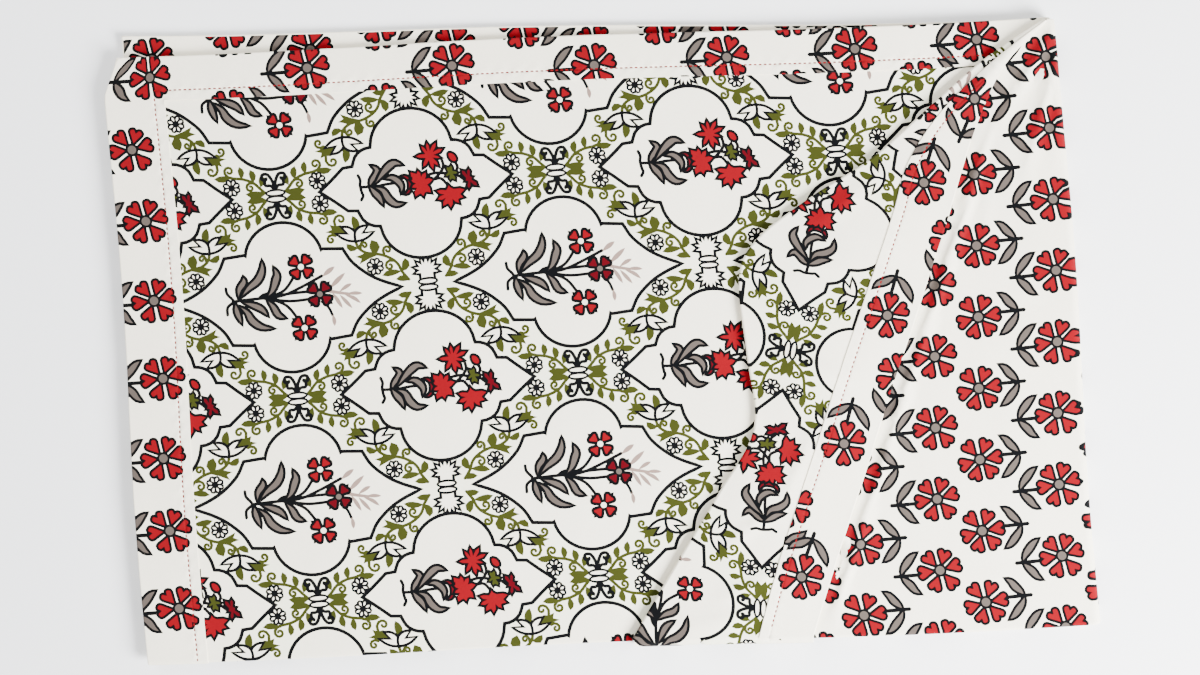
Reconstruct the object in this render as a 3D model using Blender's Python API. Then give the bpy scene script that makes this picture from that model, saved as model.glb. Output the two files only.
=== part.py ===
"""A printed cotton coverlet, folded in quarters, with a corner of its top layer turned back.

Two cloths make it. The face panel has the lattice print. The back panel has the flower print,
and its margin is turned over all four edges onto the face as a border.

Every point of the coverlet has a place (u, v) on the cloth as it was cut, u along its length,
v across it, and an offset from the middle of the two cloths, positive towards the face. The
first fold brings the two long hems together, the second fold takes the right half under the
left half. The top layer is then folded back along a crease that starts at the upper right
corner, and its hem lies as a diagonal across the front. X runs along the folded coverlet, Y up
its front, Z up from the ground. The origin is under the middle of the folded coverlet.
"""
import math

import bmesh
import bpy
from mathutils import Vector
from mathutils.geometry import delaunay_2d_cdt

# The cloth as it was cut, in metres
CUT_LENGTH = 2.12
CUT_WIDTH = 1.37
CLOTH = 0.0010
CLOTH_GAP = 0.0003
BORDER = 0.066

# The folded coverlet: where its front layer starts and ends
LEFT_HEM_X = -0.538
RIGHT_EDGE_X = 0.538
TOP_HEM_Y = 0.343
BOTTOM_FOLD_Y = -0.339

# Heights between the middles of the layers
FACE_TO_FACE = 0.0055
FACE_TO_BACK = 0.0042
BACK_TO_BACK = 0.0030

# The layer tucked under the front one, left of the turned-back corner
TUCK_DEPTH = 0.36
TUCK_END_X = 0.009
TUCK_SLIT = 0.0005

# Unevenness: the lower half lies askew, the whole leans, and the edges wander
ASKEW = 0.025
LEAN = 0.032
EDGE_WANDER = 0.0022
RISE = 0.0015
FLAP_SWELL = 0.0035
FLAP_SWELL_SPAN = 0.15
PLEAT_HEIGHT = 0.0035
PLEAT_OFFSETS = (0.008, 0.019, 0.030)
PLEAT_FADE = 0.06
ORIGIN_SHIFT = (-0.0023, 0.0098)

# The turned-back layer, a row for each section from the corner down to the bottom fold:
# hem_x, hem_y, crease_x, crease_y, border width
FLAP_ROWS = (
    (0.525, 0.3394, 0.525, 0.3394, 0.000),
    (0.474, 0.294, 0.452, 0.297, 0.014),
    (0.440, 0.236, 0.385, 0.246, 0.042),
    (0.416, 0.182, 0.318, 0.194, 0.060),
    (0.395, 0.128, 0.245, 0.152, 0.060),
    (0.372, 0.072, 0.180, 0.106, 0.060),
    (0.348, 0.010, 0.158, 0.062, 0.060),
    (0.318, -0.066, 0.162, -0.020, 0.060),
    (0.287, -0.150, 0.166, -0.105, 0.060),
    (0.262, -0.212, 0.122, -0.177, 0.060),
    (0.238, -0.270, 0.080, -0.238, 0.060),
    (0.210, -0.339, 0.010, -0.339, 0.060),
)
CORNER_STEP = Vector((-0.97, 0.24))
LIP_RADIUS = 0.0075
LIP_END_Z = 0.004

# Fineness of the mesh, and how far apart two points of it are at least
GRID_STEP = 0.105
POINT_SPACE = 0.02
SNAP = 0.0001
DIGITS = 5
FOLD_STEPS = 5
HEM_STEPS = 4
LIP_STEPS = 3
SHARP_EDGE = math.radians(35)

# What follows from those sizes
HALF_PLY = CLOTH + CLOTH_GAP / 2
HEM_RADIUS = (CLOTH + CLOTH_GAP * 2 + CLOTH) / 2
HEM_CENTRE = CLOTH_GAP / 2 + CLOTH / 2
FIRST_RADIUS = FACE_TO_FACE / 2
TUCK_RADIUS = BACK_TO_BACK / 2
SECOND_RADIUS = (FACE_TO_BACK + BACK_TO_BACK) / 2
FRONT_Z = HALF_PLY + FACE_TO_FACE + 2 * SECOND_RADIUS
TOP_Z = FRONT_Z + FACE_TO_FACE
FLAP_Z = TOP_Z + BACK_TO_BACK
SECOND_FOLD_X = RIGHT_EDGE_X - SECOND_RADIUS - FACE_TO_FACE - HALF_PLY
FOLD_U = round(SECOND_FOLD_X - LEFT_HEM_X, DIGITS)
UNDER_U = round(FOLD_U + math.pi * SECOND_RADIUS, DIGITS)
FOLD_V = round(TOP_HEM_Y - BOTTOM_FOLD_Y, DIGITS)
RETURN_V = round(FOLD_V + math.pi * FIRST_RADIUS, DIGITS)
TUCK_V = round(FOLD_V + math.pi * TUCK_RADIUS, DIGITS)
TUCK_END_V = round(TUCK_V + TUCK_DEPTH, DIGITS)
TUCK_END_U = round(TUCK_END_X - LEFT_HEM_X, DIGITS)
TUCK_SIDE_U = round(TUCK_END_U - TUCK_SLIT, DIGITS)

FACE_COLOUR = (0.62, 0.62, 0.50, 1.0)
BACK_COLOUR = (0.74, 0.50, 0.47, 1.0)
CLOTH_ROUGHNESS = 0.85


def clear_scene():
    """Remove the objects that a new file starts with."""
    for item in list(bpy.data.objects):
        bpy.data.objects.remove(item, do_unlink=True)


def pleat_height(x, y):
    """Height of the narrow pleat that the top layer makes beside the diagonal hem."""
    top_y, end_y = FLAP_ROWS[2][1], FLAP_ROWS[-1][1]
    if not end_y < y < top_y:
        return 0.0
    for upper, lower in zip(FLAP_ROWS, FLAP_ROWS[1:]):
        if lower[1] <= y <= upper[1]:
            part = (upper[1] - y) / (upper[1] - lower[1])
            hem_x = upper[0] + part * (lower[0] - upper[0])
    inner, _, outer = PLEAT_OFFSETS
    across = (x - hem_x - inner) / (outer - inner)
    if not 0.0 < across < 1.0:
        return 0.0
    fade = min(1.0, (top_y - y) / PLEAT_FADE, (y - end_y) / PLEAT_FADE)
    return PLEAT_HEIGHT * fade * math.sin(math.pi * across) ** 2


def settle(x, y, z):
    """Lay a point of the ideal folded stack into the uneven one. The layers keep their order."""
    rise = RISE * (1.0 + math.sin(7.3 * x + 4.1 * y) * math.sin(9.0 * y - 3.7 * x + 0.8))
    out_x = x - LEAN * y + EDGE_WANDER * math.sin(11.0 * y + 0.6)
    out_y = y + EDGE_WANDER * math.sin(8.5 * x + 1.9)
    out_z = z * (1.0 + rise / FLAP_Z)
    return Vector((out_x - ORIGIN_SHIFT[0], out_y - ORIGIN_SHIFT[1], out_z))


def first_fold(u, v, offset):
    """Height over the front layer and Y, after the long hems are brought together."""
    if v <= FOLD_V:
        return TOP_HEM_Y - v, offset
    if u < TUCK_END_U:
        angle = min((v - FOLD_V) / TUCK_RADIUS, math.pi)
        reach = TUCK_RADIUS + offset
        y = BOTTOM_FOLD_Y - reach * math.sin(angle) + max(0.0, v - TUCK_V)
        return y, -TUCK_RADIUS + reach * math.cos(angle)
    angle = min((v - FOLD_V) / FIRST_RADIUS, math.pi)
    reach = FIRST_RADIUS - offset
    y = BOTTOM_FOLD_Y - reach * math.sin(angle) + max(0.0, v - RETURN_V)
    return y, FIRST_RADIUS - reach * math.cos(angle)


def sheet_point(u, v, offset):
    """Place of a cloth point in the quarter-folded stack."""
    y, height = first_fold(u, v, offset)
    angle = min(max(0.0, (u - FOLD_U) / SECOND_RADIUS), math.pi)
    reach = SECOND_RADIUS + height
    x = LEFT_HEM_X + min(u, FOLD_U) - max(0.0, u - UNDER_U) + reach * math.sin(angle)
    z = FRONT_Z - SECOND_RADIUS + reach * math.cos(angle)
    if u > FOLD_U:
        y += ASKEW * (SECOND_FOLD_X - x)
    elif v > RETURN_V and u > TUCK_END_U:
        z += pleat_height(x, y)
    return settle(x, y, z)


def flap_place(row, across, offset, outward=0.0):
    """Place on the turned-back layer, across = 0 at the hem and 1 at the crease."""
    hem_x, hem_y, crease_x, crease_y, _ = FLAP_ROWS[row]
    span = Vector((crease_x - hem_x, crease_y - hem_y))
    step = span.normalized() if span.length > 0.0 else CORNER_STEP
    swell = FLAP_SWELL * math.sin(math.pi * across) * min(1.0, span.length / FLAP_SWELL_SPAN)
    x = hem_x + span.x * across - step.x * outward
    y = hem_y + span.y * across - step.y * outward
    return settle(x, y, FLAP_Z + swell + offset)


def flap_turn(row, angle, offset):
    """Place on the crease where the turned-back layer rolls down onto the layer below it."""
    _, _, crease_x, crease_y, _ = FLAP_ROWS[row]
    before = FLAP_ROWS[max(0, row - 1)]
    after = FLAP_ROWS[min(len(FLAP_ROWS) - 1, row + 1)]
    step = Vector((after[3] - before[3], before[2] - after[2])).normalized()
    reach = BACK_TO_BACK / 2 + offset
    x = crease_x + step.x * reach * math.sin(angle)
    y = crease_y + step.y * reach * math.sin(angle)
    return settle(x, y, TOP_Z + BACK_TO_BACK / 2 + reach * math.cos(angle))


def lip_point(across, step, offset, outward=0.0):
    """Place on the end of the turned-back layer, which wraps down over the bottom fold."""
    hem_x, hem_y, crease_x, _, _ = FLAP_ROWS[-1]
    x = hem_x + (crease_x - hem_x) * across + outward
    angle = min(1.0, step / LIP_STEPS) * math.pi / 2
    reach = LIP_RADIUS + offset
    y = hem_y - reach * math.sin(angle)
    z = FLAP_Z - LIP_RADIUS + reach * math.cos(angle)
    if step > LIP_STEPS:
        z = LIP_END_Z
    return settle(x, y, z)


def flap_columns(row):
    """Where the columns of the turned-back layer lie: hem, inner edge of the border, crease."""
    hem_x, hem_y, crease_x, crease_y, border = FLAP_ROWS[row]
    width = math.hypot(crease_x - hem_x, crease_y - hem_y)
    inner = border / width if width > 0.0 else 0.5
    return (0.0, inner, (1.0 + inner) / 2, 1.0)


def place(key, offset, outward=0.0):
    """Position of a cloth vertex, named by its kind and its place, at an offset."""
    kind = key[0]
    if kind == "sheet":
        _, u, v = key
        side_u = (u > CUT_LENGTH - SNAP) - (u < SNAP)
        side_v = (v > CUT_WIDTH - SNAP) - (v < SNAP)
        return sheet_point(u + side_u * outward, v + side_v * outward, offset)
    if kind == "flap":
        return flap_place(key[1], flap_columns(key[1])[key[2]], offset, outward)
    if kind == "turn":
        return flap_turn(key[1], math.pi * key[2] / FOLD_STEPS, offset)
    return lip_point(flap_columns(-1)[key[2]], key[1], offset, outward)


def crease_uv(row):
    """Cloth place of the top layer's vertex at the crease in a row of the flap."""
    _, _, crease_x, crease_y, _ = FLAP_ROWS[row]
    v = CUT_WIDTH if row == 0 else RETURN_V + crease_y - BOTTOM_FOLD_Y
    return round(crease_x - LEFT_HEM_X, DIGITS), round(v, DIGITS)


def grid_lines(stops):
    """Lines at each stop and evenly between, no further apart than the grid step."""
    lines = []
    for start, end in zip(stops, stops[1:]):
        count = math.ceil((end - start) / GRID_STEP)
        lines += [round(start + (end - start) * k / count, DIGITS) for k in range(count)]
    return lines + [stops[-1]]


def fold_lines(start, end):
    """Lines that divide a fold's roll into its steps."""
    return [round(start + (end - start) * k / FOLD_STEPS, DIGITS) for k in range(1, FOLD_STEPS)]


def sheet_outline():
    """Corners of the laid part of the cloth, with the turned-back layer cut away at its crease."""
    crease = [crease_uv(row) for row in range(len(FLAP_ROWS))]
    return [
        (0.0, 0.0), (CUT_LENGTH, 0.0), (CUT_LENGTH, CUT_WIDTH), *crease,
        (crease[-1][0], FOLD_V), (TUCK_SIDE_U, FOLD_V), (TUCK_SIDE_U, TUCK_END_V),
        (0.0, TUCK_END_V),
    ]


def inside(point, outline):
    """Whether a point lies within an outline."""
    u, v = point
    hit = False
    for (u0, v0), (u1, v1) in zip(outline, outline[1:] + outline[:1]):
        if (v0 > v) != (v1 > v) and u < (u1 - u0) * (v - v0) / (v1 - v0) + u0:
            hit = not hit
    return hit


def split_edges(outline, points):
    """Outline edges divided at the grid points that lie on them."""
    ring = []
    for start, end in zip(outline, outline[1:] + outline[:1]):
        span = Vector(end) - Vector(start)
        on_edge = []
        for point in points:
            part = (Vector(point) - Vector(start)).dot(span) / span.length_squared
            away = (Vector(start) + span * part - Vector(point)).length
            if SNAP < part < 1.0 - SNAP and away < SNAP / 100:
                on_edge.append((part, point))
        ring += [start] + [point for _, point in sorted(on_edge)]
    return ring


def sheet_lines():
    """The cloth's grid: lines across it, and the rows along it left and right of the tuck's end."""
    stops_u = [0.0, BORDER, TUCK_SIDE_U, crease_uv(-1)[0], FOLD_U, UNDER_U,
               CUT_LENGTH - BORDER, CUT_LENGTH]
    stops_v = [0.0, BORDER, FOLD_V, RETURN_V, CUT_WIDTH - BORDER, CUT_WIDTH]
    lines_u = sorted(grid_lines(stops_u) + fold_lines(FOLD_U, UNDER_U))
    right_v = sorted(grid_lines(stops_v) + fold_lines(FOLD_V, RETURN_V))
    left_v = [v for v in right_v if v <= FOLD_V] + fold_lines(FOLD_V, TUCK_V)
    return lines_u, left_v + grid_lines([TUCK_V, TUCK_END_V]), right_v


def crease_edges(points, lines_u, right_v):
    """Edges along the rolls of the folds and along the mitres, which triangles don't cross."""
    index = {point: k for k, point in enumerate(points)}
    left_u = [u for u in lines_u if u <= TUCK_SIDE_U]
    right_u = [u for u in lines_u if u >= crease_uv(-1)[0]]
    roll_u = [FOLD_U, *fold_lines(FOLD_U, UNDER_U), UNDER_U]
    runs = [[(u, v) for v in right_v] for u in roll_u]
    runs += [[(u, v) for u in right_u] for v in [FOLD_V, *fold_lines(FOLD_V, RETURN_V), RETURN_V]]
    runs += [[(u, v) for u in left_u] for v in [FOLD_V, *fold_lines(FOLD_V, TUCK_V), TUCK_V]]
    edges = []
    for run in runs:
        edges += [(index[a], index[b]) for a, b in zip(run, run[1:]) if a in index and b in index]
    for u, v in ((0.0, 0.0), (CUT_LENGTH, 0.0), (CUT_LENGTH, CUT_WIDTH)):
        inner_u = abs(u - BORDER)
        inner_v = abs(v - BORDER)
        edges.append((index[(u, v)], nearest(points, inner_u, inner_v)))
    return edges


def sheet_triangles():
    """Triangles of the laid part of the cloth, as vertex keys."""
    lines_u, left_v, right_v = sheet_lines()
    grid = [(u, v) for u in lines_u for v in (left_v if u < TUCK_END_U else right_v)]
    outline = sheet_outline()
    ring = split_edges(outline, grid)
    points = ring + [point for point in grid if inside(point, ring) and has_space(point, ring)]
    edges = [(k, (k + 1) % len(ring)) for k in range(len(ring))]
    edges += crease_edges(points, lines_u, right_v)
    for line in pleat_lines(outline):
        edges += [(len(points) + k, len(points) + k + 1) for k in range(len(line) - 1)]
        points += line
    verts, _, faces, _, _, _ = delaunay_2d_cdt(
        [Vector(p) for p in points], edges, [list(range(len(ring)))], 1, SNAP)
    keys = [("sheet", round(p.x, DIGITS), round(p.y, DIGITS)) for p in verts]
    return [tuple(keys[k] for k in face) for face in faces]


def has_space(point, ring):
    """Whether a grid point of the top layer keeps away from the outline's slanting stretch."""
    u, v = point
    if v <= RETURN_V or u < TUCK_END_U:
        return True
    return all(math.hypot(p[0] - u, p[1] - v) > POINT_SPACE for p in ring if p[1] > RETURN_V)


def nearest(points, u, v):
    """Index of the point closest to a place."""
    return min(range(len(points)), key=lambda k: math.hypot(points[k][0] - u, points[k][1] - v))


def pleat_lines(outline):
    """Lines along the feet and the top of the pleat beside the diagonal hem."""
    lines = []
    for away in PLEAT_OFFSETS:
        line = []
        for hem_x, hem_y, _, _, _ in FLAP_ROWS[2:-1]:
            u = hem_x + away - LEFT_HEM_X
            v = RETURN_V + hem_y - BOTTOM_FOLD_Y
            line.append((round(u, DIGITS), round(v, DIGITS)))
        lines.append([point for point in line if inside(point, outline)])
    return lines


def flap_triangles():
    """Triangles of the turned-back layer, of its crease and of its lip, as vertex keys."""
    rows = len(FLAP_ROWS)
    found = []

    def cell(a, b, c, d):
        corners = []
        for key in (a, b, c, d):
            if key not in corners:
                corners.append(key)
        found.append(tuple(corners[:3]))
        if len(corners) == 4:
            found.append((corners[0], corners[2], corners[3]))

    def flap_key(row, column):
        if row == 0 or column == 3:
            return ("turn", row, 0)
        return ("flap", row, column)

    def turn_key(row, step):
        return ("sheet", *crease_uv(row)) if step == FOLD_STEPS else ("turn", row, step)

    def lip_key(step, column):
        return flap_key(rows - 1, column) if step == 0 else ("lip", step, column)

    for row in range(rows - 1):
        for column in range(3):
            cell(flap_key(row, column), flap_key(row + 1, column),
                 flap_key(row + 1, column + 1), flap_key(row, column + 1))
        for step in range(FOLD_STEPS):
            cell(turn_key(row, step), turn_key(row + 1, step),
                 turn_key(row + 1, step + 1), turn_key(row, step + 1))
    for step in range(LIP_STEPS + 1):
        for column in range(3):
            cell(lip_key(step, column), lip_key(step + 1, column),
                 lip_key(step + 1, column + 1), lip_key(step, column + 1))
    return found


def in_border(triangle):
    """Whether a triangle lies in the margin that the back panel's border covers."""
    if all(key[0] == "sheet" for key in triangle):
        u = sum(key[1] for key in triangle) / 3
        v = sum(key[2] for key in triangle) / 3
        beyond_corner = v > CUT_WIDTH - BORDER and u > FOLD_U
        return u < BORDER or u > CUT_LENGTH - BORDER or v < BORDER or beyond_corner
    if all(key[0] in ("flap", "lip") for key in triangle):
        rows = [key[1] for key in triangle if key[0] == "flap"]
        return max(key[2] for key in triangle) <= 1 and min(rows, default=1) >= 1
    return False


def boundary_edges(triangles):
    """Edges that only one triangle uses."""
    uses = {}
    for triangle in triangles:
        for a, b in zip(triangle, triangle[1:] + triangle[:1]):
            uses.setdefault(frozenset((a, b)), []).append((a, b))
    return [pairs[0] for pairs in uses.values() if len(pairs) == 1]


def on_hem(key):
    """Whether a vertex lies on an outer hem of the coverlet."""
    if key[0] == "sheet":
        return min(key[1], key[2], CUT_LENGTH - key[1], CUT_WIDTH - key[2]) < SNAP
    return key[0] in ("flap", "lip") and key[2] == 0


def thick_mesh(name, faces, pairs):
    """Closed mesh of a sheet whose vertices each have a place on its two sides."""
    mesh = bmesh.new()
    near = {key: mesh.verts.new(low) for key, (low, _) in pairs.items()}
    far = {key: mesh.verts.new(high) for key, (_, high) in pairs.items()}
    for face in faces:
        mesh.faces.new([far[key] for key in face])
        mesh.faces.new([near[key] for key in reversed(face)])
    for a, b in boundary_edges(faces):
        mesh.faces.new([far[b], far[a], near[a]])
        mesh.faces.new([far[b], near[a], near[b]])
    bmesh.ops.recalc_face_normals(mesh, faces=mesh.faces)
    data = bpy.data.meshes.new(name)
    mesh.to_mesh(data)
    mesh.free()
    data.shade_smooth()
    data.set_sharp_from_angle(angle=SHARP_EDGE)
    item = bpy.data.objects.new(name, data)
    bpy.context.collection.objects.link(item)
    return item


def paint(item, name, colour):
    """Give a cloth its own plain finish."""
    material = bpy.data.materials.new(name)
    material.use_nodes = True
    shader = material.node_tree.nodes["Principled BSDF"]
    shader.inputs["Base Color"].default_value = colour
    shader.inputs["Roughness"].default_value = CLOTH_ROUGHNESS
    shader.inputs["Metallic"].default_value = 0.0
    item.data.materials.append(material)


def vertex_keys(groups):
    """Each vertex key of some triangles or edges once, in a fixed order."""
    return list(dict.fromkeys(key for group in groups for key in group))


def make_face_panel(triangles):
    """The cloth with the lattice print, which reaches the hems inside the border."""
    pairs = {key: (place(key, CLOTH_GAP / 2), place(key, HALF_PLY)) for key in vertex_keys(triangles)}
    item = thick_mesh("face_panel", triangles, pairs)
    paint(item, "lattice_cotton", FACE_COLOUR)


def hem_key(key, step):
    """Vertex of the roll that joins the back panel to its border, from back to border."""
    if step == 0:
        return key
    if step == HEM_STEPS:
        return ("border", *key)
    return ("hem", step, *key)


def hem_place(key, step, reach):
    """Place on the roll round a hem, at a reach from the roll's middle."""
    angle = math.pi * step / HEM_STEPS
    return place(key, HEM_CENTRE - reach * math.cos(angle), reach * math.sin(angle))


def make_back_panel(triangles):
    """The cloth with the flower print, with its margin turned over the hems onto the face."""
    outer = HEM_RADIUS + CLOTH / 2
    inner = HEM_RADIUS - CLOTH / 2
    margin = [triangle for triangle in triangles if in_border(triangle)]
    whole = {frozenset(edge) for edge in boundary_edges(triangles)}
    hem = [(a, b) for a, b in boundary_edges(margin)
           if on_hem(a) and on_hem(b) and frozenset((a, b)) in whole]
    faces = list(triangles)
    faces += [tuple(("border", *key) for key in reversed(triangle)) for triangle in margin]
    pairs = {}
    for key in vertex_keys(triangles):
        pairs[key] = (place(key, -HALF_PLY), place(key, -CLOTH_GAP / 2))
    for key in vertex_keys(margin):
        pairs[("border", *key)] = (place(key, HEM_CENTRE + outer), place(key, HEM_CENTRE + inner))
    for key in vertex_keys(hem):
        for step in range(1, HEM_STEPS):
            pairs[hem_key(key, step)] = (hem_place(key, step, outer), hem_place(key, step, inner))
    for a, b in hem:
        for step in range(HEM_STEPS):
            near_a, near_b = hem_key(a, step), hem_key(b, step)
            far_a, far_b = hem_key(a, step + 1), hem_key(b, step + 1)
            faces += [(near_a, near_b, far_b), (near_a, far_b, far_a)]
    item = thick_mesh("back_panel", faces, pairs)
    paint(item, "flower_cotton", BACK_COLOUR)


def build_coverlet():
    """Make both cloths from one set of triangles, so that they lie evenly on each other."""
    clear_scene()
    triangles = sheet_triangles() + flap_triangles()
    make_face_panel(triangles)
    make_back_panel(triangles)


build_coverlet()
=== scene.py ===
"""Looks of the folded coverlet: two printed cottons, the border, and its stitching.

The folds repeat those of the CAD part, on a finer mesh. A print is drawn as flat shapes on the
cloth's own plane, and the cloth is cut into triangles along the shapes, so each has its ink.
"""

import math

import bpy
import numpy as np
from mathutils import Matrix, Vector
from mathutils.geometry import delaunay_2d_cdt


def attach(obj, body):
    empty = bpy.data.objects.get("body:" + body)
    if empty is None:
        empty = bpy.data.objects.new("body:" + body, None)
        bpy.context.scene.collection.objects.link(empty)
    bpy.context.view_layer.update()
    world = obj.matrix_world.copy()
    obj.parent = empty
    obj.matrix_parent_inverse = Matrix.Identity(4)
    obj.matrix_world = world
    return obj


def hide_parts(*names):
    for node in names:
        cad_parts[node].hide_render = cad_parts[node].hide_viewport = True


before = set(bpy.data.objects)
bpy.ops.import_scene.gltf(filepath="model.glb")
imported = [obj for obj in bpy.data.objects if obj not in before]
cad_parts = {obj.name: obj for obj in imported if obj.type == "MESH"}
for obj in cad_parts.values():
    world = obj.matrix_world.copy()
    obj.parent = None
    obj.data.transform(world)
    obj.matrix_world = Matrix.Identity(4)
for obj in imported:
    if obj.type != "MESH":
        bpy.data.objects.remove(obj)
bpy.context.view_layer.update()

# The coverlet's folds, as in the CAD part, in metres
CUT_LENGTH = 2.12
CUT_WIDTH = 1.37
CLOTH = 0.0010
CLOTH_GAP = 0.0003
BORDER = 0.066
TOP_BORDER = 0.048
LEFT_HEM_X = -0.538
RIGHT_EDGE_X = 0.538
TOP_HEM_Y = 0.343
BOTTOM_FOLD_Y = -0.339
FACE_TO_FACE = 0.0055
FACE_TO_BACK = 0.0042
BACK_TO_BACK = 0.0030
TUCK_DEPTH = 0.36
TUCK_END_X = 0.009
TUCK_SLIT = 0.0005
ASKEW = 0.025
LEAN = 0.032
EDGE_WANDER = 0.0022
RISE = 0.0015
FLAP_SWELL = 0.0035
FLAP_SWELL_SPAN = 0.15
PLEAT_HEIGHT = 0.0050
PLEAT_SPAN = (0.008, 0.030)
PLEAT_FADE = 0.06
CORNER_SHIFT = 0.018
CORNER_REACH = 0.042
ORIGIN_SHIFT = (-0.0023, 0.0098)
LIP_RADIUS = 0.0075
LIP_END_Z = 0.004

# Ripples of the stack: height, then two waves, each with its rates along x and y and its phase
RIPPLES = (
    (0.0007, (21.0, 9.0, 0.4), (-6.0, 17.0, 1.1)),
    (0.00045, (47.0, -23.0, 2.0), (14.0, 39.0, 0.0)),
    (0.0002, (103.0, 61.0, 0.0), (-45.0, 88.0, 0.7)),
)

# Slow waves of the stack's height and of its edges, as in the CAD part, in the same form
SWELL_WAVES = ((7.3, 4.1, 0.0), (-3.7, 9.0, 0.8))
EDGE_WAVES = ((0.0, 11.0, 0.6), (8.5, 0.0, 1.9))

# The turned-back layer from the corner down: hem_x, hem_y, crease_x, crease_y, border width
FLAP_ROWS = (
    (0.525, 0.3394, 0.525, 0.3394, 0.000),
    (0.474, 0.294, 0.452, 0.297, 0.014),
    (0.440, 0.236, 0.385, 0.246, 0.042),
    (0.416, 0.182, 0.318, 0.194, 0.060),
    (0.395, 0.128, 0.245, 0.152, 0.060),
    (0.372, 0.072, 0.180, 0.106, 0.060),
    (0.348, 0.010, 0.158, 0.062, 0.060),
    (0.318, -0.066, 0.162, -0.020, 0.060),
    (0.287, -0.150, 0.166, -0.105, 0.060),
    (0.262, -0.212, 0.122, -0.177, 0.060),
    (0.238, -0.270, 0.080, -0.238, 0.060),
    (0.210, -0.339, 0.010, -0.339, 0.060),
)

# What follows from those sizes
HALF_PLY = CLOTH + CLOTH_GAP / 2
HEM_REACH = CLOTH * 1.5 + CLOTH_GAP
HEM_CENTRE = CLOTH_GAP / 2 + CLOTH / 2
BORDER_OFFSET = HEM_CENTRE + HEM_REACH
FIRST_RADIUS = FACE_TO_FACE / 2
TUCK_RADIUS = BACK_TO_BACK / 2
SECOND_RADIUS = (FACE_TO_BACK + BACK_TO_BACK) / 2
FRONT_Z = HALF_PLY + FACE_TO_FACE + 2 * SECOND_RADIUS
TOP_Z = FRONT_Z + FACE_TO_FACE
FLAP_Z = TOP_Z + BACK_TO_BACK
SECOND_FOLD_X = RIGHT_EDGE_X - SECOND_RADIUS - FACE_TO_FACE - HALF_PLY
FOLD_U = SECOND_FOLD_X - LEFT_HEM_X
UNDER_U = FOLD_U + math.pi * SECOND_RADIUS
FOLD_V = TOP_HEM_Y - BOTTOM_FOLD_Y
RETURN_V = FOLD_V + math.pi * FIRST_RADIUS
TUCK_V = FOLD_V + math.pi * TUCK_RADIUS
TUCK_END_V = TUCK_V + TUCK_DEPTH
TUCK_END_U = TUCK_END_X - LEFT_HEM_X
TUCK_EDGE_U = TUCK_END_U - TUCK_SLIT
INNER_U = CUT_LENGTH - BORDER
INNER_V = CUT_WIDTH - BORDER
FLAP_END_Y = BOTTOM_FOLD_Y - (LIP_RADIUS * math.pi / 2 + FLAP_Z - LIP_RADIUS - LIP_END_Z)

# Fineness of the cloth
ROW_SPLIT = 6
FINE_STEP = 0.008
COARSE_STEP = 0.06
OUTLINE_STEP = 0.03
ROLL_STEP = 0.02
FLAP_STEP = 0.01
ROLL_STEPS = 8
HEM_STEPS = 6
INNER_STEPS = 3
SHEET_MARGIN = 0.004
HIDDEN_MARGIN = 0.01
BORDER_MARGIN = 0.006
SNAP = 0.00002
NEAR_LINE = 0.0006
NUDGE = 0.0005
TINY = 1e-12

# How far the weave runs on round each roll
CREASE_WEAVE = 0.008
HEM_WEAVE = 0.005
INNER_WEAVE = 0.001

# The border's inner edge: its rounding, its drop to the face, and a step to inside the border
INNER_ROUND = 0.0005
INNER_DROP = HEM_REACH - 0.0004
INNER_NUDGE = 0.00001

# Millimetres to metres
MM = 0.001

# Print colours, sRGB
INKS = {
    "cream": (244, 238, 220),
    "band": (240, 239, 216),
    "red": (114, 0, 14),
    "crimson": (76, 0, 11),
    "grey": (80, 72, 67),
    "ink": (3, 4, 6),
    "olive": (48, 52, 13),
    "taupe": (130, 110, 102),
    "thread": (110, 8, 14),
}
INK_NAMES = list(INKS)

# The cotton's threads, as waves a metre, and the scales and strengths of its colour variation
THREADS = 2 * math.pi / 0.0009
SLUB_SCALE = 320.0
PATCH_SCALE = 9.0
SLUB_SHADE = 0.10
PATCH_SHADE = 0.05
WEAVE_SHADE = 0.02

# The photo's frame: its size and the coverlet's middle in pixels, metres a pixel, roll
PHOTO_WIDTH = 1200
PHOTO_HEIGHT = 675
PHOTO_CENTRE = (604.0, 339.75)
PHOTO_SCALE = 0.001127
PHOTO_ROLL = 2.43

# The prints' layout, in millimetres and degrees. A box is lowest and highest x, then y.
HALF_ACROSS = 158.9
HALF_DOWN = 114.9
FRONT_ORIGIN = (-353.0, 67.0)
FRONT_TURN = 2.1
FLAP_ORIGIN = (249.0, 124.0)
FLAP_TURN = 72.0
FLAP_BEND = -0.0255
FLAP_SQUEEZE = 0.925
MIRRORS = ((1, 1), (1, -1), (-1, 1), (-1, -1))
FRONT_BOX = (-482, 470, -345, 300)
FRONT_GROUND = (-538, 527, -338, 343)
TOP_BOX = (180, 545, -345, 342)
FLOWER_STEP = 87.0
REAR_SHIFT = 4.0
REAR_STEP = 22.0
REAR_PARTNER_STEP = FLOWER_STEP / 2 - 12.0
FIELD_FIRST = (519.0, 219.0)
FIELD_ACROSS = (-138.0, -9.0)
FIELD_DOWN = (-3.3, -80.2)
FIELD_TURN = 3.2
TOP_TURN = 2.0
LEFT_TURN = 3.0
PARTNER = (-87.0, 33.0)
LEFT_FLOWERS = ((-514, 240), (-506, 159), (-504, 69), (-499, -19), (-503, -109), (-501, -191),
                (-498, -279))
TOP_FLOWERS = ((-488, 321), (-308, 324), (-145, 317), (15, 310), (165, 315), (310, 320),
               (448, 324))
TOP_NEXT = (586, 324)
STRIP_FLOWERS = ((371, 165, -112), (319, 18, -109), (263, -124, -107), (204, -272, -114))
STRIP_PARTNERS = ((397, 101, -112), (328, -50, -108), (198, -190, -108), (437, 256, -118))

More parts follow.
